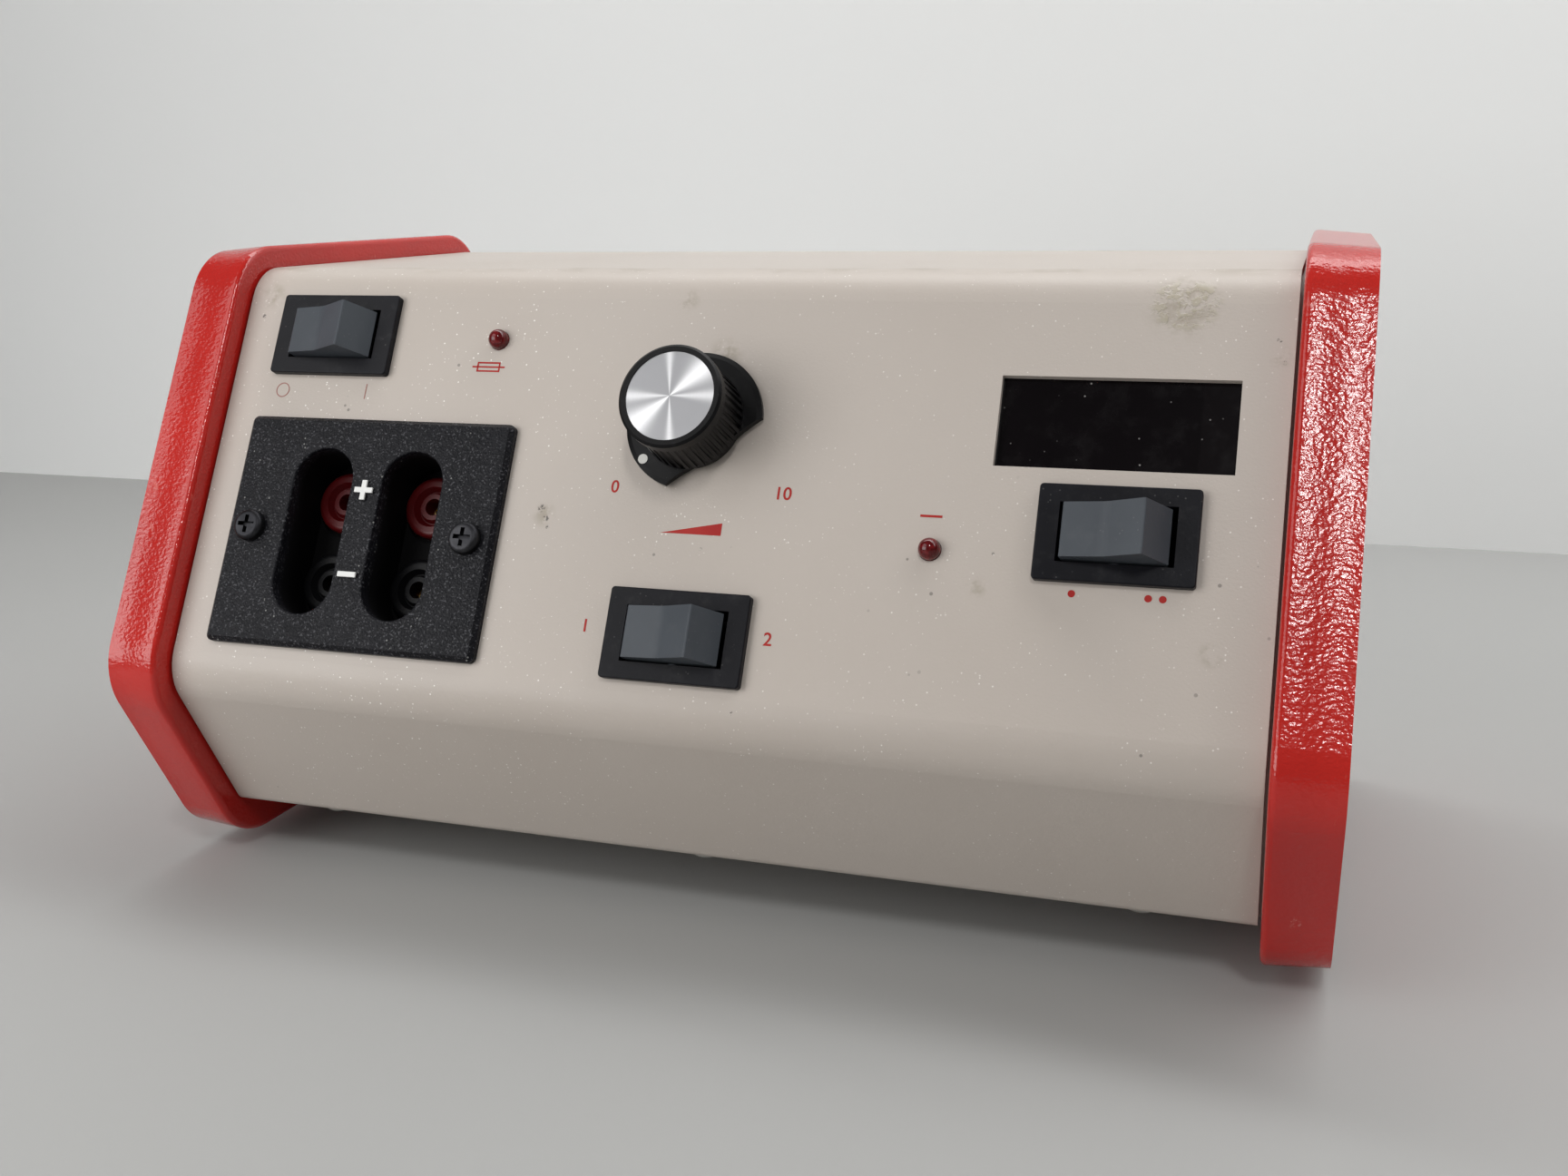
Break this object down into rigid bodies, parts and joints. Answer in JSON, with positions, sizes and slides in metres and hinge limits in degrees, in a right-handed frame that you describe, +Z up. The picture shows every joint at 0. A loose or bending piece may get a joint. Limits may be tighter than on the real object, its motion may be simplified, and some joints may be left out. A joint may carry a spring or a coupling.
{
  "type": "electrophoresis power supply",
  "caption": "Bench power supply with a sloping panel between two folded end cheeks, with rocker switches, a dial knob, lamps, a readout and shrouded output sockets.",
  "frame": {"origin": "on the bench, under the middle of the case's outer box", "axes": "X along the case from its left cheek to its right cheek, Y from the front to the rear, Z up; the panel faces -Y and up"},
  "size_m": [0.2962, 0.1762, 0.1616],
  "materials": {
    "red_paint": "gloss red paint with a slight orange peel",
    "beige_paint": "fine-textured beige paint",
    "zinc_steel": "zinc-plated steel",
    "black_steel": "blackened steel",
    "black_rubber": "plain black rubber",
    "black_nylon": "plain black moulding",
    "red_lens": "clear dark red lens",
    "knob_plastic": "satin black moulding",
    "spun_aluminium": "finely turned aluminium",
    "white_plastic": "plain white",
    "filter_plastic": "dark smoked sheet",
    "digit_plastic": "dark grey face",
    "board_laminate": "green circuit board",
    "brass_parts": "nickel-free brass",
    "block_plastic": "finely grained black moulding",
    "socket_red": "red moulding",
    "socket_black": "black moulding",
    "fuse_glass": "clear glass tube",
    "core_steel": "varnished steel laminations",
    "coil_winding": "taped copper winding",
    "can_aluminium": "sleeved aluminium can",
    "sink_aluminium": "black anodised aluminium",
    "lead_insulation": "grey wire insulation",
    "bezel_plastic": "satin near-black moulding",
    "rocker_plastic": "satin blue-grey moulding"
  },
  "bodies": {
    "housing": {"left_cheek": "red_paint", "right_cheek": "red_paint", "front_cover": "beige_paint", "chassis_tray": "beige_paint", "cheek_screws": "zinc_steel", "cover_screws": "zinc_steel", "rubber_feet": "black_rubber", "foot_screws": "zinc_steel", "lamp_clips": "black_nylon", "fuse_lamp": "red_lens", "current_lamp": "red_lens", "potentiometer_body": "zinc_steel", "potentiometer_nut": "zinc_steel", "display_filter": "filter_plastic", "display_digits": "digit_plastic", "display_board": "board_laminate", "display_pillars": "brass_parts", "terminal_block": "block_plastic", "terminal_screws": "black_steel", "terminal_nuts": "zinc_steel", "left_red_socket": "socket_red", "right_red_socket": "socket_red", "left_black_socket": "socket_black", "right_black_socket": "socket_black", "socket_contacts": "brass_parts", "socket_nuts": "brass_parts", "mains_inlet": "black_nylon", "inlet_pins": "brass_parts", "inlet_screws": "zinc_steel", "fuse_holder": "black_nylon", "fuse_holder_nut": "black_nylon", "transformer_core": "core_steel", "transformer_coil": "coil_winding", "transformer_brackets": "zinc_steel", "transformer_bolts": "zinc_steel", "main_board": "board_laminate", "board_standoffs": "brass_parts", "reservoir_capacitors": "can_aluminium", "heat_sink": "sink_aluminium", "power_transistors": "black_nylon", "board_header": "white_plastic", "readout_plug": "white_plastic", "readout_lead": "lead_insulation", "power_switch_housing": "bezel_plastic", "power_switch_tabs": "brass_parts", "range_switch_housing": "bezel_plastic", "range_switch_tabs": "brass_parts", "readout_switch_housing": "bezel_plastic", "readout_switch_tabs": "brass_parts"},
    "power_rocker_body": {"power_rocker": "rocker_plastic"},
    "range_rocker_body": {"range_rocker": "rocker_plastic"},
    "readout_rocker_body": {"readout_rocker": "rocker_plastic"},
    "knob": {"voltage_knob": "knob_plastic", "knob_disc": "spun_aluminium", "pointer_dot": "white_plastic", "knob_set_screw": "black_steel", "potentiometer_shaft": "spun_aluminium"},
    "fuse_carrier": {"fuse_cap": "black_nylon", "fuse_cartridge": "fuse_glass"}
  },
  "joints": [
    {"name": "power_rocker_hinge", "type": "hinge", "parent": "housing", "child": "power_rocker_body", "pos_m": [-0.1035, -0.03997, 0.13866], "axis": [0, 0.4695, 0.8829], "range_deg": [0, 37]},
    {"name": "range_rocker_hinge", "type": "hinge", "parent": "housing", "child": "range_rocker_body", "pos_m": [0.0026, -0.07373, 0.07517], "axis": [0, 0.4695, 0.8829], "range_deg": [0, 37]},
    {"name": "readout_rocker_hinge", "type": "hinge", "parent": "housing", "child": "readout_rocker_body", "pos_m": [0.0989, -0.05988, 0.10122], "axis": [0, 0.4695, 0.8829], "range_deg": [0, 37]},
    {"name": "knob_turn", "type": "hinge", "parent": "housing", "child": "knob", "pos_m": [-0.0007, -0.05034, 0.12129], "axis": [0, -0.8829, 0.4695], "range_deg": [-270, 0]},
    {"name": "fuse_cap_turn", "type": "hinge", "parent": "housing", "child": "fuse_carrier", "pos_m": [-0.0402, 0.08052, 0.046], "axis": [0, 1, 0], "range_deg": [0, 45]}
  ]
}
